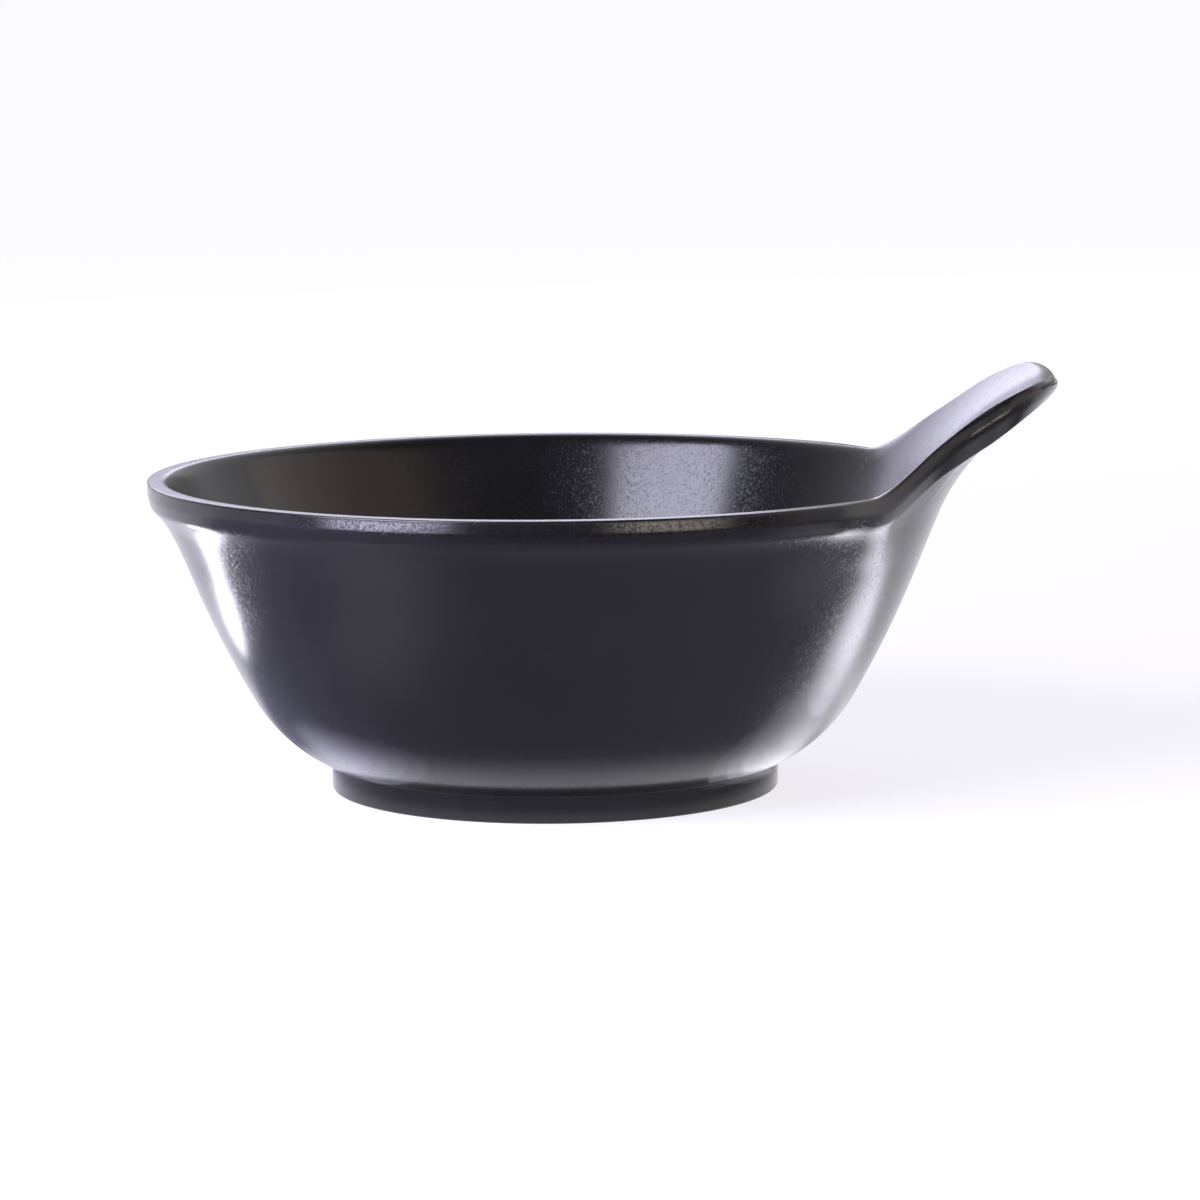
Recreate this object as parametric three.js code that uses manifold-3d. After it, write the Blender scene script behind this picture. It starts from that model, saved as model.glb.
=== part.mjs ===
// Handled mixing bowl in satin black: a bowl body on a foot ring, with one broad upswept handle.
// Millimetres, +Z up. The foot stands on z = 0, the handle points along +X and lies evenly about y = 0.
// The bowl and the handle share one pair of flared skins turned about the bowl's axis. A plan outline,
// the rim circle with the handle's tongue, trims both, so the handle flows out of the wall with no step.
import * as THREE from "three";
import { mergeVertices } from "three/addons/utils/BufferGeometryUtils.js";
import Module from "manifold-3d";

// Rim and handle in plan
const RIM_RADIUS = 90.6;
const RIM_HEIGHT = 70.5;
const HANDLE_LENGTH = 21.7;
const HANDLE_HALF_WIDTH = 33.1;
const HANDLE_WAIST = 5.9;
const WAIST_PULL = 15.2;
const TIP_SIDE_PULL = 18;
const TIP_CORNER = 2.5;
const ROOT_ANGLE = THREE.MathUtils.degToRad(45.5);
const ROOT_PULL = 9;

// Wall: a quick low arc and a long slow one rise from the foot into a leaning cone, which flares to the rim
const WALL_LEAN = THREE.MathUtils.degToRad(22);
const WALL_THICKNESS = 3.3;
const STRAIGHT_WALL_DROP = 21.8;
const BELLY_RADIUS = 220;
const LOW_BELLY_RADIUS = 36.3;
const FLOOR_THICKNESS = 3;
const INNER_CORNER_RADIUS = 28;
const RIM_OVERHANG = 4.5;
const UNDER_FLARE_DROP = 9;
const UNDER_FLARE_RADIUS = 46.3;
const UNDER_TIP_SLOPE = THREE.MathUtils.degToRad(37.4);
const TOP_FLARE_DROP = 3.5;
const TOP_FLARE_RADIUS = 46;
const TOP_TIP_SLOPE = THREE.MathUtils.degToRad(31);

// Band of two faces that runs unbroken round the edge of the rim and the handle
const RIM_BAND = 5.8;
const RIM_UPPER_FACE = 3;
const RIM_DRAFT = 0.8;
const RIM_TOP_ROUND = 0.8;
const RIM_LOWER_ROUND = 0.95;
const RIM_INNER_BLEND = 2;
const HANDLE_BAND = 6.3;
const HANDLE_UPPER_FACE = 3.1;
const HANDLE_DRAFT = 1.9;
const HANDLE_TOP_ROUND = 1.4;
const HANDLE_LOWER_ROUND = 0.35;
const HANDLE_INNER_BLEND = 4;
const TIP_BAND = 6.2;
const TIP_UPPER_FACE = 4.6;
const TIP_ROUND = 6;
const TIP_LOWER_ROUND = 1.6;
const TIP_ROUND_LENGTH = 38;
const BAND_CHANGE_LENGTH = 40;
const CLIMB_GAIN = 0.6;
const WIDEST_CLIMB = 1.6;
const BEAD_WIDTH = 5.4;
const BEAD_SOFTNESS = 0.35;
const RIM_SWEEP_START = 13.3;
const RIM_SWEEP_UP = 0.027;

// Seats where the three pieces meet
const SEAT_DROP = 18;
const SEAT_HALF_ANGLE = THREE.MathUtils.degToRad(50);
const SEAT_GAP = 0.3;
const FOOT_HEIGHT = 7;
const FOOT_RADIUS = 50.3;
const FOOT_WIDTH = 5.8;
const FOOT_FILLET = 2.2;
const FOOT_EDGE = 0.6;

// Facets: turns round the axis, steps along each skin, and sections along half the handle
const TURN_STEPS = 84;
const SKIN_STEPS = 12;
const FLANK_STEPS = 4;
const UNDER_STEPS = 8;
const ARC_STEPS = 9;
const SLOW_ARC_STEPS = 4;
const HANDLE_STEPS = 36;

const HANDLE_REACH = RIM_RADIUS + HANDLE_LENGTH;
const BOWL_AXIS_X = (RIM_RADIUS - HANDLE_REACH) / 2;
const SEAT_Z = RIM_HEIGHT - SEAT_DROP;
const FLOOR_Z = FOOT_HEIGHT + FLOOR_THICKNESS;

const wasm = await Module();
wasm.setup();

function toSolid(geometry) {
  const bare = geometry.clone();
  bare.deleteAttribute("normal");
  bare.deleteAttribute("uv");
  const merged = mergeVertices(bare, 1e-4);
  return new wasm.Manifold(
    new wasm.Mesh({
      numProp: 3,
      vertProperties: merged.attributes.position.array,
      triVerts: new Uint32Array(merged.index.array),
    }),
  );
}

function toGeometry(solid) {
  const mesh = solid.getMesh();
  const geometry = new THREE.BufferGeometry();
  geometry.setAttribute("position", new THREE.BufferAttribute(mesh.vertProperties, 3));
  geometry.setIndex(new THREE.BufferAttribute(mesh.triVerts, 1));
  geometry.computeVertexNormals();
  return geometry;
}

function cut(geometry, tool) {
  return toGeometry(toSolid(geometry).subtract(toSolid(tool)));
}

function turn(profile) {
  return new THREE.LatheGeometry(profile, TURN_STEPS).rotateX(Math.PI / 2);
}

const wallSlope = Math.tan(WALL_LEAN);
const wallAngle = Math.PI / 2 - WALL_LEAN;
const underFlareZ = RIM_HEIGHT - UNDER_FLARE_DROP;
const topFlareZ = RIM_HEIGHT - TOP_FLARE_DROP;

function outerWallRadius(z) {
  return RIM_RADIUS - RIM_OVERHANG + (z - underFlareZ) * wallSlope;
}

function innerWallRadius(z) {
  return outerWallRadius(z) - WALL_THICKNESS / Math.cos(WALL_LEAN);
}

// A skin leaves the leaning wall on an arc that bends outwards, then runs on straight at its tip slope.
function flare(wallRadius, wallZ, bend, tipSlope) {
  const centreR = wallRadius + bend * Math.sin(wallAngle);
  const centreZ = wallZ - bend * Math.cos(wallAngle);
  const endR = centreR - bend * Math.sin(tipSlope);
  const endZ = centreZ + bend * Math.cos(tipSlope);
  return {
    height(r) {
      if (r <= wallRadius) return wallZ + (r - wallRadius) / wallSlope;
      if (r >= endR) return endZ + (r - endR) * Math.tan(tipSlope);
      return centreZ + Math.sqrt(bend * bend - (centreR - r) ** 2);
    },
    radius(z) {
      if (z <= wallZ) return wallRadius + (z - wallZ) * wallSlope;
      if (z >= endZ) return endR + (z - endZ) / Math.tan(tipSlope);
      return centreR - Math.sqrt(bend * bend - (z - centreZ) ** 2);
    },
  };
}

const topSkin = flare(innerWallRadius(topFlareZ), topFlareZ, TOP_FLARE_RADIUS, TOP_TIP_SLOPE);
const underSkin = flare(outerWallRadius(underFlareZ), underFlareZ, UNDER_FLARE_RADIUS, UNDER_TIP_SLOPE);

// The inner skin rounds over into the level rim; along the handle the level climbs out of the way.
function topHeight(r, level, blend) {
  const skin = topSkin.height(r);
  const near = Math.max(blend - Math.abs(skin - level), 0) / blend;
  return Math.min(skin, level) - (near * near * blend) / 4;
}

function onArc(from, corner, to, t) {
  const a = from.clone().multiplyScalar((1 - t) ** 2);
  const b = corner.clone().multiplyScalar(2 * t * (1 - t));
  return a.add(b).add(to.clone().multiplyScalar(t * t));
}

function plan(radius, angle) {
  return new THREE.Vector2(radius * Math.cos(angle), radius * Math.sin(angle));
}

function lifted(point, z) {
  return new THREE.Vector3(point.x, point.y, z);
}

// One section through the shell above the seat: up the inner skin, over the band, down the outer skin.
// The outer skin swells down to the band's lower corner, and the swell fades out over the bead's width.
function shellSection({ base, edge, out, level, blend, band, upper, draft, topRound, lowerRound }) {
  const inward = (depth) => edge.clone().addScaledVector(out, -depth);
  const innerFoot = plan(topSkin.radius(SEAT_Z), base);
  const outerFoot = plan(underSkin.radius(SEAT_Z), base);
  const shoulder = inward(topRound);
  const crown = lifted(edge, topHeight(edge.length(), level, blend));
  const ridge = lifted(edge, crown.z - upper);
  const lower = lifted(inward(draft), crown.z - band);
  const swell = underSkin.height(inward(draft).length()) - lower.z;

  function under(p) {
    const ramp = 1 - (p.distanceTo(edge) - draft) / BEAD_WIDTH;
    const soft = Math.max(BEAD_SOFTNESS - Math.abs(ramp), 0) ** 2 / (4 * BEAD_SOFTNESS);
    return lifted(p, underSkin.height(p.length()) - swell * (Math.max(ramp, 0) + soft));
  }

  const points = [lifted(innerFoot, SEAT_Z)];
  for (let i = 1; i <= SKIN_STEPS; i++) {
    const p = innerFoot.clone().lerp(shoulder, 1 - (1 - i / SKIN_STEPS) ** 1.35);
    points.push(lifted(p, topHeight(p.length(), level, blend)));
  }
  const shoulderTop = points.at(-1);
  const faceTop = lifted(edge, crown.z - Math.min(topRound, upper * 0.9));
  for (let i = 1; i <= 5; i++) points.push(onArc(shoulderTop, crown, faceTop, i / 5));
  points.push(ridge);
  const lowerFace = lower.clone().sub(ridge).normalize();
  const faceEnd = lower.clone().addScaledVector(lowerFace, -lowerRound);
  const flankStart = draft + lowerRound;
  const flankEnd = draft + BEAD_WIDTH * 0.6;
  for (let i = 0; i <= 3; i++) points.push(onArc(faceEnd, lower, under(inward(flankStart)), i / 3));
  for (let i = 1; i <= FLANK_STEPS; i++) {
    points.push(under(inward(THREE.MathUtils.lerp(flankStart, flankEnd, i / FLANK_STEPS))));
  }
  for (let i = 1; i < UNDER_STEPS; i++) {
    points.push(under(inward(flankEnd).lerp(outerFoot, i / UNDER_STEPS)));
  }
  points.push(lifted(outerFoot, SEAT_Z));
  return points;
}

const rimEdge = {
  blend: RIM_INNER_BLEND,
  band: RIM_BAND,
  upper: RIM_UPPER_FACE,
  draft: RIM_DRAFT,
  topRound: RIM_TOP_ROUND,
  lowerRound: RIM_LOWER_ROUND,
};

function rimSection(angle) {
  const edge = plan(RIM_RADIUS, angle);
  return shellSection({ base: angle, edge, out: plan(1, angle), level: RIM_HEIGHT, ...rimEdge });
}

function arcPoint(centre, radius, angle) {
  return new THREE.Vector2(centre.x + radius * Math.sin(angle), centre.y - radius * Math.cos(angle));
}

// A slow belly arc leaves the straight wall, and a quick one takes over from it down to the foot's shoulder.
function bellyCurve() {
  const wallZ = RIM_HEIGHT - STRAIGHT_WALL_DROP;
  const shoulder = new THREE.Vector2(FOOT_RADIUS + FOOT_FILLET, FOOT_HEIGHT);
  const onWall = new THREE.Vector2(outerWallRadius(wallZ), wallZ);
  const centre = arcPoint(onWall, -BELLY_RADIUS, wallAngle);
  const reach = shoulder.clone().sub(centre);
  const apart = BELLY_RADIUS - LOW_BELLY_RADIUS;
  const share = (reach.lengthSq() + apart ** 2 - LOW_BELLY_RADIUS ** 2) / (2 * apart * reach.length());
  const meet = Math.min(Math.atan2(reach.x, -reach.y) + Math.acos(Math.min(share, 1)), wallAngle);
  const lowCentre = arcPoint(centre, apart, meet);
  const lowAngle = Math.acos(Math.min((lowCentre.y - FOOT_HEIGHT) / LOW_BELLY_RADIUS, 1));
  const points = [];
  for (let i = 0; i < SLOW_ARC_STEPS; i++) {
    const angle = THREE.MathUtils.lerp(wallAngle, meet, i / SLOW_ARC_STEPS);
    points.push(arcPoint(centre, BELLY_RADIUS, angle));
  }
  for (let i = 0; i < ARC_STEPS; i++) {
    const angle = THREE.MathUtils.lerp(meet, lowAngle, i / ARC_STEPS);
    points.push(arcPoint(lowCentre, LOW_BELLY_RADIUS, angle));
  }
  return [...points, shoulder];
}

// bowl_body: floor, belly and wall turned in one, with the rim taken down to a seat for the handle.
function bowlProfile() {
  const profile = [new THREE.Vector2(0, FLOOR_Z)];
  const cornerZ = FLOOR_Z + INNER_CORNER_RADIUS;
  const wallZ = cornerZ - INNER_CORNER_RADIUS * Math.cos(wallAngle);
  const cornerR = innerWallRadius(wallZ) - INNER_CORNER_RADIUS * Math.sin(wallAngle);
  for (let i = 0; i <= ARC_STEPS; i++) {
    const a = (wallAngle * i) / ARC_STEPS;
    const r = cornerR + INNER_CORNER_RADIUS * Math.sin(a);
    profile.push(new THREE.Vector2(r, cornerZ - INNER_CORNER_RADIUS * Math.cos(a)));
  }
  for (const p of rimSection(0)) profile.push(new THREE.Vector2(p.x, p.z));
  profile.push(...bellyCurve());
  profile.push(new THREE.Vector2(0, FOOT_HEIGHT));
  return profile.reverse();
}

function seatTool() {
  const sector = new THREE.Shape();
  sector.absarc(0, 0, HANDLE_REACH, -SEAT_HALF_ANGLE, SEAT_HALF_ANGLE, false);
  sector.absarc(0, 0, innerWallRadius(SEAT_Z) - 10, SEAT_HALF_ANGLE, -SEAT_HALF_ANGLE, true);
  sector.closePath();
  const depth = SEAT_DROP + 5;
  const block = new THREE.ExtrudeGeometry(sector, { depth, bevelEnabled: false, curveSegments: 12 });
  return block.translate(0, 0, SEAT_Z);
}

// handle: a tongue that grows out of the rim, broad at the root, waisted, and round at the tip.
function handleOutline() {
  const waist = new THREE.Vector2(RIM_RADIUS + HANDLE_WAIST, HANDLE_HALF_WIDTH);
  const root = plan(RIM_RADIUS, ROOT_ANGLE);
  const alongRim = plan(1, ROOT_ANGLE - Math.PI / 2);
  const tip = new THREE.Vector2(HANDLE_REACH, 0);
  const tipSide = new THREE.Vector2(HANDLE_REACH, TIP_SIDE_PULL);
  const corner = new THREE.Vector2(HANDLE_REACH - TIP_CORNER, HANDLE_HALF_WIDTH);
  const waistIn = waist.clone().setX(waist.x - WAIST_PULL);
  const rootOut = root.clone().addScaledVector(alongRim, ROOT_PULL);
  const outline = new THREE.CurvePath();
  outline.add(new THREE.CubicBezierCurve(tip, tipSide, corner, waist));
  outline.add(new THREE.CubicBezierCurve(waist, waistIn, rootOut, root));
  return outline;
}

// Stations along half the edge, from the tip to the seat's end; swept is the length left to the root.
function handleStations() {
  const outline = handleOutline();
  const curveLength = outline.getLength();
  const endAngle = SEAT_HALF_ANGLE - SEAT_GAP / RIM_RADIUS;
  const total = curveLength + (endAngle - ROOT_ANGLE) * RIM_RADIUS;
  const stations = [];
  for (let i = 0; i <= HANDLE_STEPS; i++) {
    const along = (total * i) / HANDLE_STEPS;
    const base = endAngle * (i / HANDLE_STEPS) ** 1.6;
    if (along >= curveLength) {
      const angle = ROOT_ANGLE + (along - curveLength) / RIM_RADIUS;
      stations.push({ base, edge: plan(RIM_RADIUS, angle), out: plan(1, angle), swept: 0, along });
      continue;
    }
    const edge = outline.getPointAt(along / curveLength);
    const tangent = outline.getTangentAt(along / curveLength);
    const out = new THREE.Vector2(tangent.y, -tangent.x);
    stations.push({ base, edge, out, swept: curveLength - along, along });
  }
  return stations;
}

// How far the rim's level has climbed; the inner skin caps it once the edge stands out on the handle.
function climbedLevel(swept) {
  return RIM_HEIGHT + RIM_SWEEP_UP * Math.max(swept - RIM_SWEEP_START, 0) ** 2;
}

// Where the edge climbs, the band is widened so that it keeps its width square to its own run.
function climbWidening(stations) {
  const crowns = stations.map(({ edge, swept }) => {
    return Math.min(topSkin.height(edge.length()), climbedLevel(swept));
  });
  const widening = stations.map((station, i) => {
    const from = Math.max(i - 1, 0);
    const to = Math.min(i + 1, stations.length - 1);
    const climb = (crowns[from] - crowns[to]) / (stations[to].along - stations[from].along);
    return THREE.MathUtils.clamp(1 + CLIMB_GAIN * climb, 1, WIDEST_CLIMB);
  });
  return widening.map((_, i) => {
    const nearby = widening.slice(Math.max(i - 2, 0), i + 3);
    return nearby.reduce((sum, each) => sum + each, 0) / nearby.length;
  });
}

// The rim's band changes into the handle's along the root, and turns into a round nose at the tip.
function handleSections() {
  const { lerp, smoothstep } = THREE.MathUtils;
  const stations = handleStations();
  const widening = climbWidening(stations);
  const sections = stations.map(({ base, edge, out, swept, along }, i) => {
    const level = climbedLevel(swept);
    const grown = smoothstep(swept, 0, BAND_CHANGE_LENGTH);
    const pastTip = smoothstep(along, 0, TIP_ROUND_LENGTH);
    const blend = lerp(RIM_INNER_BLEND, HANDLE_INNER_BLEND, grown);
    const band = lerp(TIP_BAND, lerp(RIM_BAND, HANDLE_BAND, grown), pastTip) * widening[i];
    const upperFace = lerp(RIM_UPPER_FACE, HANDLE_UPPER_FACE, grown);
    const upper = lerp(TIP_UPPER_FACE, upperFace, pastTip) * widening[i];
    const draft = lerp(RIM_DRAFT, HANDLE_DRAFT, grown);
    const topRound = lerp(TIP_ROUND, lerp(RIM_TOP_ROUND, HANDLE_TOP_ROUND, grown), pastTip);
    const lowerRound = lerp(TIP_LOWER_ROUND, lerp(RIM_LOWER_ROUND, HANDLE_LOWER_ROUND, grown), pastTip);
    return shellSection({ base, edge, out, level, blend, band, upper, draft, topRound, lowerRound });
  });
  const mirrored = sections.slice(1).map((loop) => loop.map((p) => new THREE.Vector3(p.x, -p.y, p.z)));
  return [...mirrored.reverse(), ...sections];
}

// Skins a row of closed loops and caps both ends.
function loft(loops) {
  const count = loops[0].length;
  const position = loops.flat().flatMap((p) => [p.x, p.y, p.z]);
  const index = [];
  for (let k = 0; k + 1 < loops.length; k++) {
    for (let i = 0; i < count; i++) {
      const j = (i + 1) % count;
      const a = k * count + i;
      const b = k * count + j;
      index.push(a, b, a + count, b, b + count, a + count);
    }
  }
  for (const [k, turned] of [[0, false], [loops.length - 1, true]]) {
    const flat = loops[k].map((p) => new THREE.Vector2(Math.hypot(p.x, p.y), p.z));
    for (const [a, b, c] of THREE.ShapeUtils.triangulateShape(flat, [])) {
      const face = turned ? [a, c, b] : [a, b, c];
      index.push(...face.map((i) => k * count + i));
    }
  }
  const geometry = new THREE.BufferGeometry();
  geometry.setAttribute("position", new THREE.Float32BufferAttribute(position, 3));
  geometry.setIndex(index);
  geometry.computeVertexNormals();
  return geometry;
}

// foot_ring: a plain turned ring with a filleted shoulder under the belly.
function footProfile() {
  const shoulder = FOOT_HEIGHT - FOOT_FILLET;
  const profile = [
    new THREE.Vector2(FOOT_RADIUS - FOOT_WIDTH, FOOT_EDGE),
    new THREE.Vector2(FOOT_RADIUS - FOOT_WIDTH + FOOT_EDGE, 0),
    new THREE.Vector2(FOOT_RADIUS - FOOT_EDGE, 0),
    new THREE.Vector2(FOOT_RADIUS, FOOT_EDGE),
  ];
  for (let i = 0; i <= 4; i++) {
    const a = (Math.PI / 2) * (i / 4);
    const r = FOOT_RADIUS + FOOT_FILLET * (1 - Math.cos(a));
    profile.push(new THREE.Vector2(r, shoulder + FOOT_FILLET * Math.sin(a)));
  }
  profile.push(new THREE.Vector2(FOOT_RADIUS - FOOT_WIDTH, FOOT_HEIGHT));
  profile.push(profile[0].clone());
  return profile;
}

const satinBlack = new THREE.MeshStandardMaterial({ color: 0x1d1d20, roughness: 0.38, metalness: 0 });

function piece(name, geometry) {
  const mesh = new THREE.Mesh(geometry, satinBlack.clone());
  mesh.name = name;
  return mesh;
}

const bowl = new THREE.Group();
bowl.position.x = BOWL_AXIS_X;
bowl.add(piece("foot_ring", turn(footProfile())));
bowl.add(piece("bowl_body", cut(turn(bowlProfile()), seatTool())));
bowl.add(piece("handle", loft(handleSections())));

const handledBowl = new THREE.Group();
handledBowl.add(bowl);

export default handledBowl;
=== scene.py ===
# A handled mixing bowl in satin black: a bowl body, a foot ring and one upswept handle.
# The bowl's sizes are in millimetres, and those of the floor, the lights and the camera in metres.
# The bowl's axis stands at x = AXIS_X, and the handle points along +X.
import math

import bpy
import numpy as np
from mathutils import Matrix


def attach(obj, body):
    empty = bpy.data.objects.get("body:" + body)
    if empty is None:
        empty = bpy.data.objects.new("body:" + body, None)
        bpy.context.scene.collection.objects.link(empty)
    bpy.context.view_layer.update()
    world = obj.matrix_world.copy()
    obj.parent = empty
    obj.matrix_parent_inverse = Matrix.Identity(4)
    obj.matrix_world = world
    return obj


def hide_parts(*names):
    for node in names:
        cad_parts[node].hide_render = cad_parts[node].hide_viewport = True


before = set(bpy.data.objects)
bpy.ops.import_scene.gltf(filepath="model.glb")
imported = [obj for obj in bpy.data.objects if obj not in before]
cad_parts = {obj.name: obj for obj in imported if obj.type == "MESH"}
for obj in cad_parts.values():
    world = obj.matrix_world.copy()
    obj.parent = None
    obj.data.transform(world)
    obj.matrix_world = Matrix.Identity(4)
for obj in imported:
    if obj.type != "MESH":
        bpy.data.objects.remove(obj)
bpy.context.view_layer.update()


# Bowl body
# The open bowl: floor, belly, leaning wall and thick flared rim, in stoneware under a satin black glaze.
# It is turned on its axis, and the rim is taken down to a flat seat where the handle is luted on.
AXIS_X = -10.85
RIM_RADIUS = 90.6
RIM_HEIGHT = 70.5
WALL_LEAN = math.radians(22)
WALL_THICKNESS = 3.3
WALL_LOW_Z = 48.7
BELLY_RADIUS = 220
LOW_BELLY_RADIUS = 36.3
FLOOR_Z = 10
INNER_CORNER_RADIUS = 28
FOOT_HEIGHT = 7
FOOT_SHOULDER = 52.5
UNDER_FLARE_Z = 61.5
UNDER_FLARE_WALL = 86.1
UNDER_FLARE_BEND = 46.3
UNDER_TIP_SLOPE = math.radians(37.4)
TOP_FLARE_Z = 67
TOP_FLARE_BEND = 46
TOP_TIP_SLOPE = math.radians(31)
SEAT_Z = 52.5
SEAT_HALF_ANGLE = math.radians(50)
BEAD_WIDTH = 5.4
BEAD_SOFTNESS = 0.35
FLANK_SHARE = 0.6
CROWN_SHARE = 0.9
RIM_EDGE = dict(
    level=RIM_HEIGHT, blend=2, upper=3.0, band=5.8, crown_in=0.05, ridge_in=0.15, lower_in=0.8,
    top_round=0.5, ridge_round=0.5, lower_round=0.95,
)

# Steps along each stretch of the section, and how much the inner skin's steps crowd towards the rim.
SKIN_STEPS = 40
SKIN_CROWDING = 1.35
CROWN_STEPS = 12
ROUND_STEPS = 10
UPPER_FACE_STEPS = 3
LOWER_FACE_STEPS = 4
FLANK_STEPS = 7
UNDER_STEPS = 30
STRAIGHT_STEPS = 8
INNER_CORNER_STEPS = 32
OUTSIDE_STEPS = 4
BELLY_STEPS = 16
LOW_BELLY_STEPS = 36


def outer_wall(z):
    return UNDER_FLARE_WALL + (z - UNDER_FLARE_Z) * math.tan(WALL_LEAN)


def inner_wall(z):
    return outer_wall(z) - WALL_THICKNESS / math.cos(WALL_LEAN)


def flare(wall_r, wall_z, bend, tip_slope):
    """Height over the radius of a skin that leaves the wall on an outward arc, then runs on straight."""
    centre_r = wall_r + bend * math.cos(WALL_LEAN)
    centre_z = wall_z - bend * math.sin(WALL_LEAN)
    end_r = centre_r - bend * math.sin(tip_slope)
    end_z = centre_z + bend * math.cos(tip_slope)

    def height(r):
        if r <= wall_r:
            return wall_z + (r - wall_r) / math.tan(WALL_LEAN)
        if r >= end_r:
            return end_z + (r - end_r) * math.tan(tip_slope)
        return centre_z + math.sqrt(bend**2 - (centre_r - r) ** 2)

    return height


top_skin = flare(inner_wall(TOP_FLARE_Z), TOP_FLARE_Z, TOP_FLARE_BEND, TOP_TIP_SLOPE)
under_skin = flare(UNDER_FLARE_WALL, UNDER_FLARE_Z, UNDER_FLARE_BEND, UNDER_TIP_SLOPE)
inner_seat = inner_wall(SEAT_Z)
outer_seat = outer_wall(SEAT_Z)


def heading(angle):
    return np.array([math.cos(angle), math.sin(angle)])


def bend_over(start, corner, end, steps):
    """A rounded corner: a run of points from start to end, drawn towards the corner."""
    t = np.linspace(0, 1, steps + 1)[1:, None]
    return (1 - t) ** 2 * start + 2 * t * (1 - t) * corner + t**2 * end


def edge_section(
    base, edge, out, level, blend, upper, band,
    crown_in, ridge_in, lower_in, top_round, ridge_round, lower_round,
):
    """Points up the inner skin from the seat, over the band and its two faces, and down the outer skin."""

    def top(p):
        skin = top_skin(np.hypot(*p))
        near = max(blend - abs(skin - level), 0) / blend
        return np.array([*p, min(skin, level) - near * near * blend / 4])

    def inward(depth):
        return edge - out * depth

    crown = top(inward(crown_in))
    ridge = np.array([*inward(ridge_in), crown[2] - upper])
    lower = np.array([*inward(lower_in), crown[2] - band])
    swell = under_skin(np.hypot(*lower[:2])) - lower[2]

    def under(p):
        ramp = 1 - (np.hypot(*(p - edge)) - lower_in) / BEAD_WIDTH
        soft = max(BEAD_SOFTNESS - abs(ramp), 0) ** 2 / (4 * BEAD_SOFTNESS)
        return np.array([*p, under_skin(np.hypot(*p)) - swell * (max(ramp, 0) + soft)])

    inner_foot = inner_seat * heading(base)
    outer_foot = outer_seat * heading(base)
    shoulder = inward(top_round)
    run = 1 - (1 - np.linspace(0, 1, SKIN_STEPS + 1)) ** SKIN_CROWDING
    points = [top(inner_foot + (shoulder - inner_foot) * t) for t in run]
    points[0][2] = SEAT_Z
    upper_face = (ridge - crown) / np.linalg.norm(ridge - crown)
    lower_face = (lower - ridge) / np.linalg.norm(lower - ridge)
    crown_end = crown + upper_face * min(top_round, upper * CROWN_SHARE)
    points.extend(bend_over(points[-1], crown, crown_end, CROWN_STEPS))
    points.extend(np.linspace(points[-1], ridge - upper_face * ridge_round, UPPER_FACE_STEPS + 1)[1:])
    points.extend(bend_over(points[-1], ridge, ridge + lower_face * ridge_round, ROUND_STEPS))
    points.extend(np.linspace(points[-1], lower - lower_face * lower_round, LOWER_FACE_STEPS + 1)[1:])
    flank_start = lower_in + lower_round
    flank_end = lower_in + BEAD_WIDTH * FLANK_SHARE
    points.extend(bend_over(points[-1], lower, under(inward(flank_start)), ROUND_STEPS))
    for depth in np.linspace(flank_start, flank_end, FLANK_STEPS + 1)[1:]:
        points.append(under(inward(depth)))
    last = inward(flank_end)
    for t in np.linspace(0, 1, UNDER_STEPS + 1)[1:]:
        points.append(under(last + (outer_foot - last) * t))
    points[-1][2] = SEAT_Z
    return np.array(points)


def slopes(points):
    """Tangents down the first axis of a grid of points, weighed by the spacing on either side."""
    gaps = np.linalg.norm(np.diff(points, axis=0), axis=-1, keepdims=True) + 1e-9
    steps = np.diff(points, axis=0) / gaps
    inside = (gaps[1:] * steps[:-1] + gaps[:-1] * steps[1:]) / (gaps[1:] + gaps[:-1])
    first = 1.5 * steps[:1] - 0.5 * steps[1:2]
    last = 1.5 * steps[-1:] - 0.5 * steps[-2:-1]
    return np.concatenate([first, inside, last])


def turn(profile, angles):
    """Points and outward normals of a profile of (radius, height) turned through a list of angles."""
    tangent = slopes(profile)
    facing = np.stack([-tangent[:, 1], tangent[:, 0]], -1)
    facing /= np.linalg.norm(facing, axis=-1, keepdims=True)
    spin = np.stack([np.cos(angles), np.sin(angles)], -1)

    def spun(line):
        heights = np.broadcast_to(line[:, 1:], (len(angles), len(line), 1))
        return np.concatenate([spin[:, None] * line[None, :, :1], heights], -1)

    return spun(profile), spun(facing)


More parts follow.
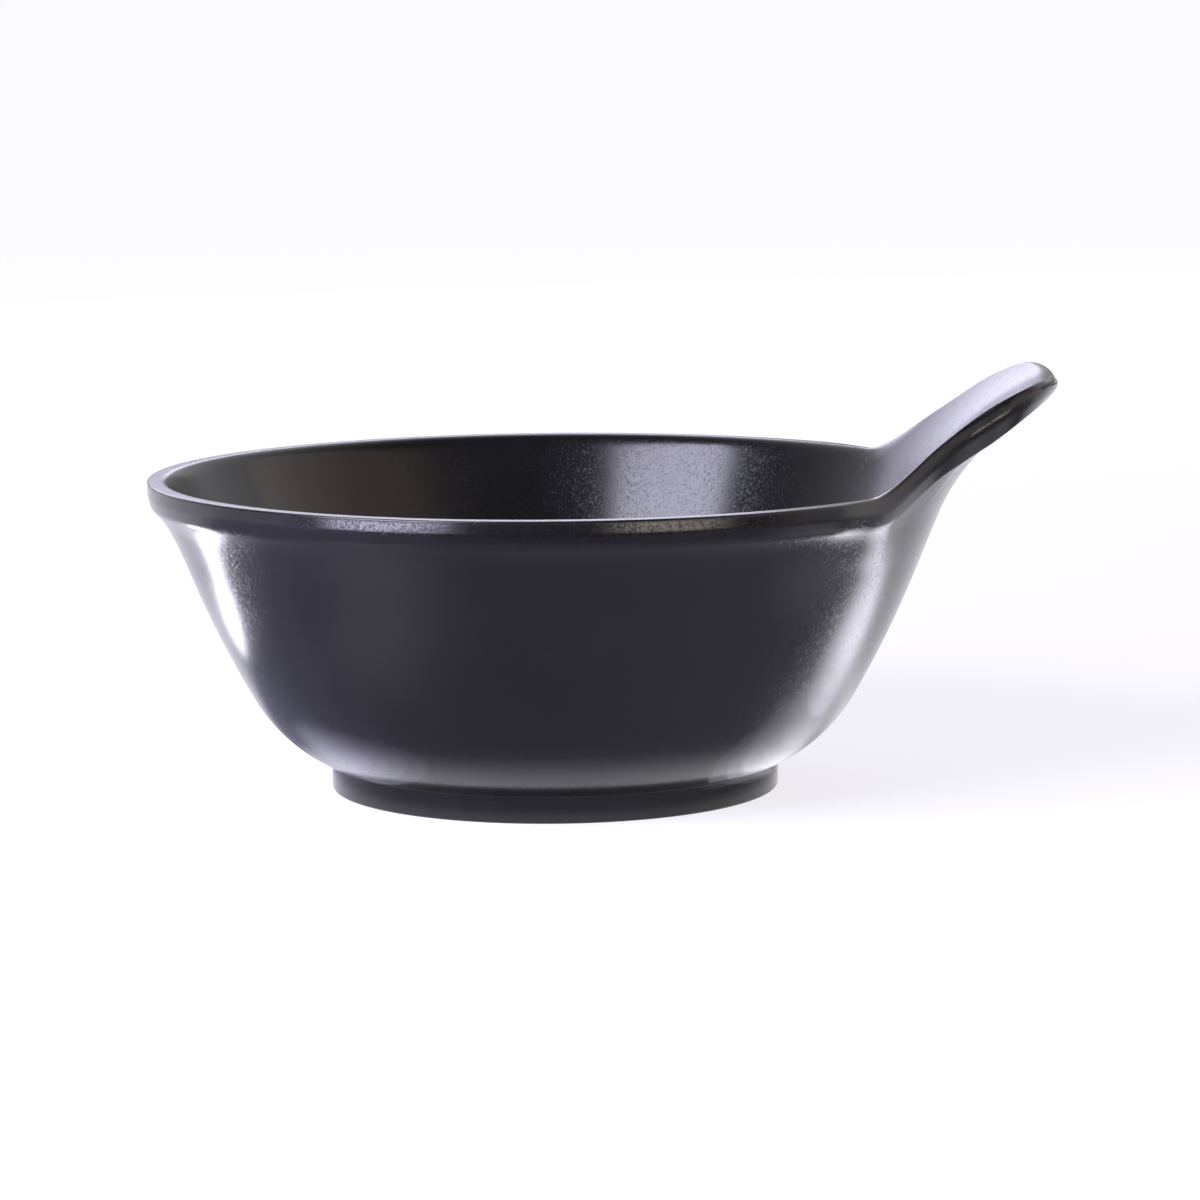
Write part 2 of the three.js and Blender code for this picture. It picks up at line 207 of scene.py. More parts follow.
class Skin:
    """Gathers patches of surface in millimetres into one closed mesh with exact normals."""

    def __init__(self):
        self.places = {}
        self.faces = []
        self.normals = []
        self.sheet = 0

    def corner(self, point):
        key = (*(np.round(point, 4) + 0.0), self.sheet)
        return self.places.setdefault(key, len(self.places))

    def face(self, points, normals):
        corners = [self.corner(p) for p in points]
        kept = [i for i, c in enumerate(corners) if c != corners[i - 1]]
        if len({corners[i] for i in kept}) > 2:
            self.faces.append([corners[i] for i in kept])
            self.normals.extend(normals[i] for i in kept)

    def patch(self, points, normals, closed=False):
        rows = range(len(points) if closed else len(points) - 1)
        for i in rows:
            j = (i + 1) % len(points)
            for k in range(points.shape[1] - 1):
                ring = [(i, k), (i, k + 1), (j, k + 1), (j, k)]
                self.face([points[c] for c in ring], [normals[c] for c in ring])

    def joint(self, points, normal, closed=False):
        """A flat face that meets another piece. Its corners are its own, so the skin's normals stay true."""
        self.sheet = 1
        if points.ndim == 2:
            self.face(points, [np.array(normal, float)] * len(points))
        else:
            self.patch(points, np.broadcast_to(np.array(normal, float), points.shape), closed)
        self.sheet = 0

    def piece(self, name, material, node, slot):
        mesh = bpy.data.meshes.new(name)
        places = (np.array(list(self.places))[:, :3] + [AXIS_X, 0, 0]) / 1000
        mesh.from_pydata(places.tolist(), [], self.faces, shade_flat=False)
        mesh.normals_split_custom_set([tuple(n) for n in self.normals])
        mesh.materials.append(material)
        piece = bpy.data.objects.new(name, mesh)
        bpy.context.collection.objects.link(piece)
        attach(piece, "root")
        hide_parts(node)


def below(angle):
    """The way from an arc's centre to a point on it; angles are measured from straight down, outwards."""
    return np.array([math.sin(angle), -math.cos(angle)])


def arc(centre, radius, start, end, steps):
    lean = np.linspace(start, end, steps + 1)
    return centre + radius * np.stack([np.sin(lean), -np.cos(lean)], -1)


# Below the straight wall the outside is a long slow arc, then a quick one that passes the foot's shoulder.
wall_angle = math.pi / 2 - WALL_LEAN
belly_start = np.array([outer_wall(WALL_LOW_Z), WALL_LOW_Z])
belly_centre = belly_start - BELLY_RADIUS * below(wall_angle)
to_shoulder = np.array([FOOT_SHOULDER, FOOT_HEIGHT]) - belly_centre
apart = BELLY_RADIUS - LOW_BELLY_RADIUS
cosine = (to_shoulder @ to_shoulder + apart**2 - LOW_BELLY_RADIUS**2) / (2 * apart * np.hypot(*to_shoulder))
meet_angle = math.atan2(to_shoulder[0], -to_shoulder[1]) + math.acos(min(cosine, 1))
low_centre = belly_centre + apart * below(meet_angle)
shoulder_angle = math.acos((low_centre[1] - FOOT_HEIGHT) / LOW_BELLY_RADIUS)


def bowl_profile():
    """The bowl's whole section as (radius, height), with the places where its rim starts and ends."""
    corner_z = FLOOR_Z + INNER_CORNER_RADIUS
    corner_r = inner_wall(corner_z - INNER_CORNER_RADIUS * math.cos(wall_angle))
    corner_r -= INNER_CORNER_RADIUS * math.sin(wall_angle)
    along = np.linspace(0, 1, STRAIGHT_STEPS + 1)
    floor = [(corner_r * t, FLOOR_Z) for t in along[:-1]]
    corner = arc((corner_r, corner_z), INNER_CORNER_RADIUS, 0, wall_angle, INNER_CORNER_STEPS)
    wall = [corner[-1] + ((inner_seat, SEAT_Z) - corner[-1]) * t for t in along[1:-1]]
    rim = edge_section(0, RIM_RADIUS * heading(0), heading(0), **RIM_EDGE)[:, [0, 2]]
    belly = np.concatenate([
        arc(belly_centre, BELLY_RADIUS, wall_angle, meet_angle, BELLY_STEPS)[:-1],
        arc(low_centre, LOW_BELLY_RADIUS, meet_angle, shoulder_angle, LOW_BELLY_STEPS),
    ])
    outside = [rim[-1] + (belly[0] - rim[-1]) * t for t in np.linspace(0, 1, OUTSIDE_STEPS + 1)[1:-1]]
    inside = np.concatenate([floor, corner, wall])
    return np.concatenate([inside, rim, outside, belly]), len(inside), len(inside) + len(rim) - 1


def add_node(tree, kind, links=(), values=(), **settings):
    """Adds a node with its settings. Links and values are given by the name or the number of an input."""
    node = tree.nodes.new(kind)
    for name, setting in settings.items():
        setattr(node, name, setting)
    for socket, value in dict(values).items():
        node.inputs[socket].default_value = value
    for socket, source in dict(links).items():
        tree.links.new(source, node.inputs[socket])
    return node


def linear(hex_colour):
    """An sRGB hex colour as linear RGBA."""
    parts = [int(hex_colour[i : i + 2], 16) / 255 for i in (1, 3, 5)]
    return (*[c / 12.92 if c <= 0.04045 else ((c + 0.055) / 1.055) ** 2.4 for c in parts], 1)


# Satin black glaze on stoneware, sprayed on and fired: a smooth black skin with a fine tight grit, which
# keeps reflections soft and breaks their borders into bright specks. The grit is about 0.2 mm and is
# drawn at 0.55 mm to show. The glaze's depth changes in clouds of some 14 mm, which are a shade lighter.
GRIT = 0.55 / 1000
GRIT_RELIEF = 0.019 / 1000
CLOUD = 14 / 1000
GLAZE_IOR = 1.46
THIN_GLAZE = "#121214"
THICK_GLAZE = "#161618"

glaze = bpy.data.materials.new("satin_black_glaze")
glaze.use_nodes = True
tree = glaze.node_tree
shader = tree.nodes["Principled BSDF"]
shader.inputs["IOR"].default_value = GLAZE_IOR
place = add_node(tree, "ShaderNodeTexCoord").outputs["Object"]
grit = add_node(
    tree, "ShaderNodeTexNoise", {"Vector": place}, {"Scale": 1 / GRIT, "Detail": 3.0, "Roughness": 0.7}
)
gloss = add_node(
    tree,
    "ShaderNodeMapRange",
    {"Value": grit.outputs["Fac"]},
    {"From Min": 0.3, "From Max": 0.7, "To Min": 0.15, "To Max": 0.23},
)
speck = add_node(
    tree, "ShaderNodeMapRange", {"Value": grit.outputs["Fac"]}, {"From Min": 0.55, "From Max": 0.75}
)
pebble = add_node(
    tree, "ShaderNodeBump", {"Height": speck.outputs["Result"]}, {"Strength": 1.0, "Distance": GRIT_RELIEF}
)
cloud = add_node(tree, "ShaderNodeTexNoise", {"Vector": place}, {"Scale": 1 / CLOUD, "Detail": 3.0})
depth = add_node(tree, "ShaderNodeValToRGB", {"Fac": cloud.outputs["Fac"]})
depth.color_ramp.elements[0].position = 0.35
depth.color_ramp.elements[0].color = linear(THIN_GLAZE)
depth.color_ramp.elements[1].position = 0.65
depth.color_ramp.elements[1].color = linear(THICK_GLAZE)
tree.links.new(depth.outputs["Color"], shader.inputs["Base Color"])
tree.links.new(gloss.outputs["Result"], shader.inputs["Roughness"])
tree.links.new(pebble.outputs["Normal"], shader.inputs["Normal"])

# Stations round the bowl: a fan over the handle's seat, crowded towards the handle's middle, and the rest.
HALF_STATIONS = 80
FAN_CROWDING = 1.6
REST_STATIONS = 220
half_fan = SEAT_HALF_ANGLE * np.linspace(0, 1, HALF_STATIONS + 1) ** FAN_CROWDING
fan = np.concatenate([-half_fan[:0:-1], half_fan])
rest = np.linspace(SEAT_HALF_ANGLE, 2 * math.pi - SEAT_HALF_ANGLE, REST_STATIONS + 1)
full_turn = np.concatenate([fan, rest[1:-1]])

profile, rim_start, rim_end = bowl_profile()
body = Skin()
points, normals = turn(profile, full_turn)
body.patch(points[:, : rim_start + 1], normals[:, : rim_start + 1], closed=True)
body.patch(points[:, rim_end:], normals[:, rim_end:], closed=True)
points, normals = turn(profile, rest)
rim_points = points[:, rim_start : rim_end + 1]
rim_normals = normals[:, rim_start : rim_end + 1]
body.patch(rim_points, rim_normals)
body.joint(rim_points[0], (math.sin(SEAT_HALF_ANGLE), -math.cos(SEAT_HALF_ANGLE), 0))
body.joint(rim_points[-1][::-1], (math.sin(SEAT_HALF_ANGLE), math.cos(SEAT_HALF_ANGLE), 0))
seat = np.array([(inner_seat, SEAT_Z), (outer_seat, SEAT_Z)])
body.joint(turn(seat, fan)[0], (0, 0, 1))
underside = np.array([profile[-1], (0, FOOT_HEIGHT)])
body.joint(turn(underside, full_turn)[0], (0, 0, -1), closed=True)
body.piece("glazed_bowl_body", glaze, "bowl_body", "body_glaze")


# Foot ring
# The low ring that the bowl stands on, of the same stoneware and glaze. It is turned and luted flat to the
# underside, with a close corner under the belly and softly broken edges where it meets the table.
FOOT_RADIUS = 50.3
FOOT_WIDTH = 5.8
FOOT_FILLET = 0.15
FOOT_BREAK = 0.75
FOOT_TURN_STEPS = 240
FOOT_BREAK_STEPS = 8
FOOT_FACE_STEPS = 4
FOOT_INSIDE_STEPS = 3
FOOT_FILLET_STEPS = 10
FOOT_ARC_STEPS = 8

foot_inside = FOOT_RADIUS - FOOT_WIDTH
inner_break = np.array([(foot_inside, FOOT_BREAK), (foot_inside, 0), (foot_inside + FOOT_BREAK, 0)])
outer_break = np.array([(FOOT_RADIUS - FOOT_BREAK, 0), (FOOT_RADIUS, 0), (FOOT_RADIUS, FOOT_BREAK)])
foot_angle = math.asin((FOOT_RADIUS + FOOT_FILLET - low_centre[0]) / (LOW_BELLY_RADIUS + FOOT_FILLET))
low_arc = arc(low_centre, LOW_BELLY_RADIUS, shoulder_angle, foot_angle, FOOT_ARC_STEPS)
fillet_centre = low_arc[-1] + FOOT_FILLET * below(foot_angle)
fillet = arc(fillet_centre, FOOT_FILLET, foot_angle - math.pi, -math.pi / 2, FOOT_FILLET_STEPS)
foot_profile = np.concatenate([
    [(foot_inside, z) for z in np.linspace(FOOT_HEIGHT, inner_break[0, 1], FOOT_INSIDE_STEPS + 1)],
    bend_over(*inner_break, FOOT_BREAK_STEPS),
    np.linspace(inner_break[2], outer_break[0], FOOT_FACE_STEPS + 1)[1:],
    bend_over(*outer_break, FOOT_BREAK_STEPS),
    [outer_break[2] + (fillet[-1] - outer_break[2]) * t for t in (0.33, 0.67)],
    fillet[::-1],
    low_arc[-2::-1],
])[::-1]
foot_turn = np.linspace(0, 2 * math.pi, FOOT_TURN_STEPS + 1)[:-1]
foot = Skin()
points, normals = turn(foot_profile, foot_turn)
foot.patch(points, normals, closed=True)
foot.joint(turn(foot_profile[[-1, 0]], foot_turn)[0], (0, 0, 1), closed=True)
foot.piece("glazed_foot_ring", glaze, "foot_ring", "foot_glaze")


# Handle
# A broad tongue pulled from the rim's clay and swept up and out, waisted at its root and round at its tip.
# It carries its own length of rim, sits on the seat in the bowl's wall, and the one glaze hides the join.
HANDLE_REACH = 112.3
HANDLE_HALF_WIDTH = 33.1
HANDLE_WAIST = 5.9
WAIST_PULL = 15.2
TIP_SIDE_PULL = 18
TIP_CORNER = 2.5
ROOT_ANGLE = math.radians(45.5)
ROOT_PULL = 9
HANDLE_EDGE = dict(
    blend=4, upper=3.1, band=6.3, crown_in=0.15, ridge_in=0, lower_in=1.9,
    top_round=1.4, ridge_round=1.4, lower_round=0.35,
)
BAND_CHANGE_LENGTH = 40
TIP_ROUND_LENGTH = 38
TIP_ROUND = 6
TIP_BAND = 6.2
TIP_UPPER_FACE = 4.6
TIP_LOWER_ROUND = 1.6
CLIMB_GAIN = 0.6
WIDEST_CLIMB = 1.6
CLIMB_SMOOTHING = 6
SWEEP_START = 13.3
SWEEP_UP = 0.027
CURVE_POINTS = 401

# Half the handle's edge in plan: a curve from the tip to the waist, and one from the waist to the rim.
tip = np.array([HANDLE_REACH, 0])
waist = np.array([RIM_RADIUS + HANDLE_WAIST, HANDLE_HALF_WIDTH])
root = RIM_RADIUS * heading(ROOT_ANGLE)
root_out = root + ROOT_PULL * heading(ROOT_ANGLE - math.pi / 2)
t = np.linspace(0, 1, CURVE_POINTS)[:, None]
outline = np.concatenate([
    (1 - t) ** 3 * a + 3 * t * (1 - t) ** 2 * b + 3 * t**2 * (1 - t) * c + t**3 * d
    for a, b, c, d in (
        (tip, (HANDLE_REACH, TIP_SIDE_PULL), (HANDLE_REACH - TIP_CORNER, HANDLE_HALF_WIDTH), waist),
        (waist, waist - (WAIST_PULL, 0), root_out, root),
    )
])
outline = np.delete(outline, CURVE_POINTS, axis=0)
lengths = np.concatenate([[0], np.cumsum(np.linalg.norm(np.diff(outline, axis=0), axis=1))])
ways = slopes(outline)
curve_length = lengths[-1]
total_length = curve_length + (SEAT_HALF_ANGLE - ROOT_ANGLE) * RIM_RADIUS


def smooth(x, low, high):
    t = min(max((x - low) / (high - low), 0), 1)
    return t * t * (3 - 2 * t)


def blend_value(a, b, t):
    return a + (b - a) * t


def handle_station(step):
    """Place on the edge, the way out, the lengths from the tip and to the root, and the level climbed to."""
    along = total_length * step / HALF_STATIONS
    swept = max(curve_length - along, 0)
    if along >= curve_length:
        out = heading(ROOT_ANGLE + (along - curve_length) / RIM_RADIUS)
        edge = RIM_RADIUS * out
    else:
        edge = np.array([np.interp(along, lengths, outline[:, i]) for i in (0, 1)])
        ahead = np.array([np.interp(along, lengths, ways[:, i]) for i in (0, 1)])
        out = np.array([ahead[1], -ahead[0]]) / np.hypot(*ahead)
    level = RIM_HEIGHT + SWEEP_UP * max(swept - SWEEP_START, 0) ** 2
    return edge, out, along, swept, level


def climb_widening():
    """How much wider the band is where the edge climbs, so that it keeps its width square to its own run."""
    crown_line = []
    for step in range(HALF_STATIONS + 1):
        edge, _, along, _, level = handle_station(step)
        crown_line.append((along, min(top_skin(np.hypot(*edge)), level)))
    climb = np.gradient(*np.array(crown_line).T[::-1])
    widening = np.clip(1 - CLIMB_GAIN * climb, 1, WIDEST_CLIMB)
    window = 2 * CLIMB_SMOOTHING + 1
    padded = np.pad(widening, CLIMB_SMOOTHING, mode="edge")
    return np.convolve(padded, np.ones(window) / window, mode="valid")


def handle_section(step, widening):
    """The rim's own section, changed into the handle's along the root and into a round nose at the tip."""
    edge, out, along, swept, level = handle_station(step)
    angle = SEAT_HALF_ANGLE * (step / HALF_STATIONS) ** FAN_CROWDING
    grown = smooth(swept, 0, BAND_CHANGE_LENGTH)
    band = {name: blend_value(RIM_EDGE[name], value, grown) for name, value in HANDLE_EDGE.items()}
    past_tip = smooth(along, 0, TIP_ROUND_LENGTH)
    band["top_round"] = blend_value(TIP_ROUND, band["top_round"], past_tip)
    band["lower_round"] = blend_value(TIP_LOWER_ROUND, band["lower_round"], past_tip)
    band["band"] = blend_value(TIP_BAND, band["band"], past_tip) * widening
    band["upper"] = blend_value(TIP_UPPER_FACE, band["upper"], past_tip) * widening
    return edge_section(angle, edge, out, level=level, **band)


half = np.array([handle_section(step, widening) for step, widening in enumerate(climb_widening())])
sections = np.concatenate([half[:0:-1] * [1, -1, 1], half])
facing = np.cross(slopes(sections), np.swapaxes(slopes(np.swapaxes(sections, 0, 1)), 0, 1))
facing /= -np.linalg.norm(facing, axis=-1, keepdims=True)

# Where the handle meets the bowl it takes the bowl's own normals, so that no join shows in the glaze.
facing[-1] = rim_normals[0]
facing[0] = rim_normals[-1]
for column, side in ((0, -1), (-1, 1)):
    bowl_normal = rim_normals[0, column]
    outward = side * np.hypot(bowl_normal[0], bowl_normal[1])
    upward = np.full(len(fan), bowl_normal[2])
    facing[:, column] = np.stack([outward * np.cos(fan), outward * np.sin(fan), upward], -1)
handle = Skin()
handle.patch(sections, facing)
handle.joint(sections[:, [-1, 0]], (0, 0, -1))
handle.joint(sections[-1][::-1], (-math.sin(SEAT_HALF_ANGLE), math.cos(SEAT_HALF_ANGLE), 0))
handle.joint(sections[0], (-math.sin(SEAT_HALF_ANGLE), -math.cos(SEAT_HALF_ANGLE), 0))
handle.piece("glazed_handle", glaze, "handle", "handle_glaze")


# Floor
# A wide plain sheet of matt white board that the bowl stands on. The lens sees it white, and its grey paint
# keeps the bowl's soft shadow. For the glaze alone it glows with painted light and shade: a painted
# highlight right at the foot, painted shade that makes it darker in front of the bowl, and painted patches
# of light.
FLOOR_REACH = 40.0
BOARD_PAINT = "#9898a6"
BOARD_GLOW = "#fbfaff"
# Painted glow that only the glaze sees on the board, by its distance from the bowl's axis: a painted
# highlight right at the foot, painted shade in front of the bowl, and brighter again far out.
PAINTED_GLOW_BY_REACH = ((0.056, 1.0), (0.066, 0.12), (0.25, 0.04), (0.5, 0.6), (1.0, 0.9))
# Painted patches of light on the board, seen only by the glaze, standing in for light thrown back: place,
# spread and strength.
PAINTED_LIGHT_PATCHES = (
    ((-0.089, -0.098), 0.055, 0.5),
    ((0.160, -0.06), 0.075, 1.2),
    ((0.07, -0.09), 0.12, 0.25),
    ((0.075, 0.028), 0.045, 0.9),
)

floor_mesh = bpy.data.meshes.new("white_board")
board_edge = [(FLOOR_REACH * math.cos(a), FLOOR_REACH * math.sin(a), 0) for a in foot_turn]
sides = len(board_edge)
wedges = [(0, i + 1, (i + 1) % sides + 1) for i in range(sides)]
floor_mesh.from_pydata([(0, 0, 0), *board_edge], [], wedges)
floor = bpy.data.objects.new("white_board", floor_mesh)
bpy.context.collection.objects.link(floor)

# Matt white board, painted: the eye sees an even white that turns faintly grey in the shadow. Glossy rays
# also get the painted glow: painted light at the foot and in patches, and painted shade in front.
board = bpy.data.materials.new("white_board_painted_glow")
board.use_nodes = True
tree = board.node_tree
tree.nodes.clear()
paint = add_node(tree, "ShaderNodeBsdfDiffuse", values={"Color": linear(BOARD_PAINT)})
rays = add_node(tree, "ShaderNodeLightPath")
mirror = add_node(
    tree,
    "ShaderNodeMath",
    {0: rays.outputs["Is Glossy Ray"], 1: rays.outputs["Is Transmission Ray"]},
    operation="MAXIMUM",
)
spot = add_node(tree, "ShaderNodeNewGeometry").outputs["Position"]
axis_place = (AXIS_X / 1000, 0, 0)
from_axis = add_node(tree, "ShaderNodeVectorMath", {0: spot}, {1: axis_place}, operation="SUBTRACT")
reach = add_node(tree, "ShaderNodeVectorMath", {0: from_axis.outputs[0]}, operation="LENGTH")
ramp = add_node(tree, "ShaderNodeValToRGB", {"Fac": reach.outputs["Value"]})
stops = ramp.color_ramp.elements
for i, (position, glow) in ((0, PAINTED_GLOW_BY_REACH[0]), (1, PAINTED_GLOW_BY_REACH[-1])):
    stops[i].position = position
    stops[i].color = (glow, glow, glow, 1)
for position, glow in PAINTED_GLOW_BY_REACH[1:-1]:
    stops.new(position).color = (glow, glow, glow, 1)
axes = add_node(tree, "ShaderNodeSeparateXYZ", {"Vector": spot})
behind = add_node(
    tree, "ShaderNodeMapRange", {"Value": axes.outputs["Y"]}, {"From Min": 0.02, "From Max": 0.05}
)
# The painted glow for glossy rays: the ramp by distance, white behind the bowl, then the painted patches of
# light.
painted_glow = add_node(
    tree, "ShaderNodeMath", {0: ramp.outputs["Color"], 1: behind.outputs["Result"]}, operation="MAXIMUM"
)
# Each painted patch of light adds a soft round glow that only glossy rays see.
for (x, y), spread, strength in PAINTED_LIGHT_PATCHES:
    away = add_node(tree, "ShaderNodeVectorMath", {0: spot}, {1: (x, y, 0)}, operation="DISTANCE")
    painted_patch = add_node(
        tree,
        "ShaderNodeMapRange",
        {"Value": away.outputs["Value"]},
        {"From Min": spread, "From Max": 0.0, "To Max": strength},
        interpolation_type="SMOOTHSTEP",
    )
    painted_glow = add_node(tree, "ShaderNodeMath", {0: painted_glow.outputs[0], 1: painted_patch.outputs["Result"]}, operation="ADD")
mirrored = add_node(tree, "ShaderNodeMath", {0: mirror.outputs[0], 1: painted_glow.outputs[0]}, operation="MULTIPLY")
seen = add_node(
    tree,
    "ShaderNodeMapRange",
    {"Value": reach.outputs["Value"]},
    {"From Min": 0.15, "From Max": 1.5, "To Min": 0.83, "To Max": 0.98},
)
shown = add_node(
    tree,
    "ShaderNodeMath",
    {0: rays.outputs["Is Camera Ray"], 1: seen.outputs["Result"], 2: mirrored.outputs[0]},
    operation="MULTIPLY_ADD",
)
glow = add_node(tree, "ShaderNodeEmission", {"Strength": shown.outputs[0]}, {"Color": linear(BOARD_GLOW)})
both = add_node(tree, "ShaderNodeAddShader", {0: paint.outputs[0], 1: glow.outputs[0]})
add_node(tree, "ShaderNodeOutputMaterial", {"Surface": both.outputs[0]})
floor_mesh.materials.append(board)


# Studio light
# Soft boxes stand round the bowl, in front, at the right, behind and above. Low strips lie on the board,
# each in layers that fade its edge, and a black sheet in front that only the glaze sees is painted shade
# that keeps the middle of the wall dark.
SOFT_BOXES = {
    "key_box": ((-0.44, -0.455, 0.36), (0, 0, 0.06), 0.44, 0.5, 14.5, "#e9e6ff"),
    "warm_box": ((0.9, -0.2, 0.38), (0, 0, 0.05), 1.6, 0.75, 0.8, "#ffe4d2"),
    "back_box": ((-0.62, 1.3, 0.5), (0, 0, 0.08), 1.45, 0.44, 2.5, "#e4e0ff"),
    "top_box": ((0.0, 0.9, 1.3), (0, 0, 0.05), 1.2, 0.8, 1.0, "#f6f5ff"),
}
# Each strip's x, y, length, width, turn in degrees, the sizes of its layers, radiance and colour.
STRIPS = {
    "left_strip": (-0.152, 0.036, 0.068, 0.036, 155, (1.0, 0.8, 0.6, 0.4), 19, "#f4f2ff"),
    "right_strip": (0.116, 0.0185, 0.120, 0.040, 34, (1.0, 0.82, 0.64, 0.46), 5.9, "#f4f2ff"),
    "right_soft_strip": (0.104, 0.012, 0.165, 0.058, 33, (1.0, 0.8, 0.6), 1.0, "#f4f2ff"),
    "right_foot_strip": (0.054, -0.0205, 0.066, 0.034, 34, (1.0, 0.85, 0.7, 0.5, 0.3), 2.0, "#f4f2ff"),
    "left_foot_strip": (-0.060, -0.037, 0.056, 0.020, 140, (1.0, 0.8, 0.6, 0.4), 1.4, "#e4e0ff"),
    "left_front_strip": (-0.31, -0.37, 0.30, 0.2, 135, (1.0,), 25, "#e4e0ff"),
    "right_front_strip": (0.24, -0.39, 0.26, 0.2, 30, (1.0,), 8, "#fff0e6"),
}
LAYER_HEIGHT = 0.002
LAYER_STEP = 0.0002
STRIP_AIM = 0.1
SHADE_SHEET_HALF_WIDTH = 0.6
SHADE_SHEET_FRONT = -0.8
SHADE_SHEET_BACK = -0.19
SHADE_SHEET_HEIGHT = 0.001
ROOM_COLOUR = "#fbfaff"
ROOM_LEAST = 0.08


def soft_box(name, place, aim, width, height, radiance, colour):
    """A flat lamp of an even radiance that faces its aim; the lens doesn't see it."""
    light = bpy.data.lights.new(name, "AREA")
    light.shape = "RECTANGLE"
    light.size = width
    light.size_y = height
    light.energy = radiance * math.pi * width * height
    light.color = linear(colour)[:3]
    lamp = bpy.data.objects.new(name, light)
    bpy.context.collection.objects.link(lamp)
    back = np.array(place) - np.array(aim)
    tilt = math.acos(back[2] / np.linalg.norm(back))
    lamp.location = place
    lamp.rotation_euler = (tilt, 0, math.atan2(back[1], back[0]) + math.pi / 2)
    lamp.visible_camera = False
    return lamp


for name, box in SOFT_BOXES.items():
    soft_box(name, *box)

# The layers of all strips have heights of their own, since lamps in one plane hide each other in the glaze.
for name, (x, y, length, width, degrees, layers, radiance, colour) in STRIPS.items():
    for size in layers:
        place = (x, y, LAYER_HEIGHT + LAYER_STEP * len(bpy.data.lights))
        aim = (x, y, STRIP_AIM)
        part = radiance / len(layers)
        strip = soft_box(f"{name}_{size}", place, aim, length * size, width * size, part, colour)
        strip.rotation_euler.z = math.radians(degrees)
        strip.data.shape = "ELLIPSE"
        strip.data.energy *= math.pi / 4

# A black sheet on the board in front of the bowl, seen only by glossy rays: painted shade in the glaze's
# reflections.
shade_sheet_corners = [
    (-SHADE_SHEET_HALF_WIDTH, SHADE_SHEET_FRONT, SHADE_SHEET_HEIGHT),
    (SHADE_SHEET_HALF_WIDTH, SHADE_SHEET_FRONT, SHADE_SHEET_HEIGHT),
    (SHADE_SHEET_HALF_WIDTH, SHADE_SHEET_BACK, SHADE_SHEET_HEIGHT),
    (-SHADE_SHEET_HALF_WIDTH, SHADE_SHEET_BACK, SHADE_SHEET_HEIGHT),
]
shade_sheet_mesh = bpy.data.meshes.new("painted_shade_sheet")
shade_sheet_mesh.from_pydata(shade_sheet_corners, [], [(0, 1, 2, 3)])
shade_sheet = bpy.data.objects.new("painted_shade_sheet", shade_sheet_mesh)
bpy.context.collection.objects.link(shade_sheet)
shade_sheet.visible_camera = False
shade_sheet.visible_diffuse = False
shade_sheet.visible_shadow = False

# A deep matt black with next to no sheen, on a sheet that only the glaze sees: painted shade in its
# reflection of the board in front of the bowl.
shade_sheet_paint = bpy.data.materials.new("painted_shade_black")
shade_sheet_paint.use_nodes = True
shade_sheet_inputs = shade_sheet_paint.node_tree.nodes["Principled BSDF"].inputs
shade_sheet_inputs["Base Color"].default_value = linear("#141416")
shade_sheet_inputs["Roughness"].default_value = 0.9
shade_sheet_inputs["Specular IOR Level"].default_value = 0.1
shade_sheet_mesh.materials.append(shade_sheet_paint)

# The room is white behind the bowl, dimmer low down and nearly dark in front of it.
world = bpy.data.worlds.new("studio_room")
bpy.context.scene.world = world
world.use_nodes = True
tree = world.node_tree
backdrop = tree.nodes["Background"].inputs
look = add_node(tree, "ShaderNodeTexCoord")
axes = add_node(tree, "ShaderNodeSeparateXYZ", {"Vector": look.outputs["Generated"]})
behind = add_node(
    tree,
    "ShaderNodeMapRange",
    {"Value": axes.outputs["Y"]},
    {"From Min": -0.2, "From Max": 0.5, "To Min": 0.05, "To Max": 1.0},
)
above = add_node(
    tree,
    "ShaderNodeMapRange",
    {"Value": axes.outputs["Z"]},
    {"From Min": 0.12, "From Max": 0.2, "To Min": 0.3, "To Max": 1.0},
)
room = add_node(
    tree, "ShaderNodeMath", {0: behind.outputs["Result"], 1: above.outputs["Result"]}, operation="MULTIPLY"
)
rays = add_node(tree, "ShaderNodeLightPath")
mirror = add_node(
    tree,
    "ShaderNodeMath",
    {0: rays.outputs["Is Glossy Ray"], 1: rays.outputs["Is Transmission Ray"]},
    operation="MAXIMUM",
)
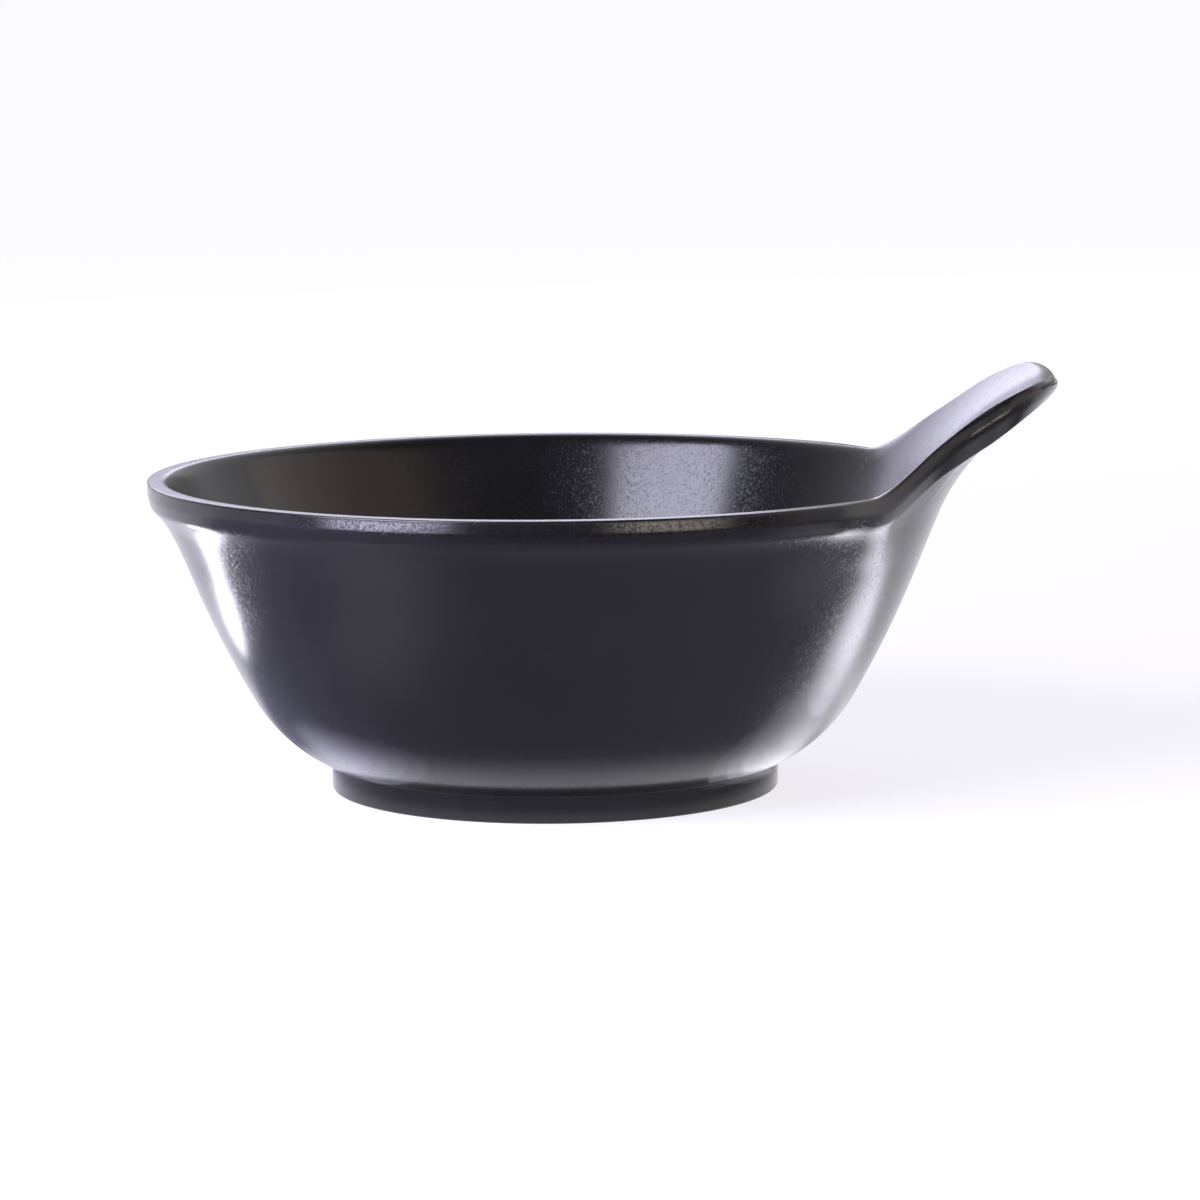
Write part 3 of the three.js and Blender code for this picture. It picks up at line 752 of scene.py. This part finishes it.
mirrored = add_node(tree, "ShaderNodeMath", {0: mirror.outputs[0], 1: room.outputs[0]}, operation="MULTIPLY")
shown = add_node(
    tree, "ShaderNodeMath", {0: mirrored.outputs[0], 1: rays.outputs["Is Camera Ray"]}, operation="MAXIMUM"
)
strength = add_node(tree, "ShaderNodeMath", {0: shown.outputs[0]}, {1: ROOM_LEAST}, operation="MAXIMUM")
backdrop["Color"].default_value = linear(ROOM_COLOUR)
tree.links.new(strength.outputs[0], backdrop["Strength"])


# Camera
# A long lens a metre away and a little above the rim, with the handle turned slightly towards it and the
# picture rolled by half a degree. The bowl stands off the picture's middle by the lens's shift.
CAMERA_AZIMUTH = math.radians(3.55)
CAMERA_ELEVATION = math.radians(8.28)
CAMERA_ROLL = math.radians(0.55)
CAMERA_DISTANCE = 1.0
AIM_HEIGHT = 0.035
SENSOR_WIDTH = 36
IMAGE_SIZE = 1200
FOCAL_PIXELS = 4440
TARGET_PIXEL = (554.0, 629.8)

camera_data = bpy.data.cameras.new("photo_camera")
camera_data.sensor_width = SENSOR_WIDTH
camera_data.lens = FOCAL_PIXELS / IMAGE_SIZE * SENSOR_WIDTH
camera_data.shift_x = (IMAGE_SIZE / 2 - TARGET_PIXEL[0]) / IMAGE_SIZE
camera_data.shift_y = (TARGET_PIXEL[1] - IMAGE_SIZE / 2) / IMAGE_SIZE
camera = bpy.data.objects.new("photo_camera", camera_data)
bpy.context.collection.objects.link(camera)
level_out = math.cos(CAMERA_ELEVATION) * CAMERA_DISTANCE
camera.location = (
    AXIS_X / 1000 + math.sin(CAMERA_AZIMUTH) * level_out,
    -math.cos(CAMERA_AZIMUTH) * level_out,
    AIM_HEIGHT + math.sin(CAMERA_ELEVATION) * CAMERA_DISTANCE,
)
camera.rotation_mode = "XYZ"
camera.rotation_euler = (math.pi / 2 - CAMERA_ELEVATION, 0, CAMERA_AZIMUTH)
camera.rotation_euler.rotate_axis("Z", -CAMERA_ROLL)
bpy.context.scene.camera = camera
bpy.context.scene.view_settings.view_transform = "Standard"
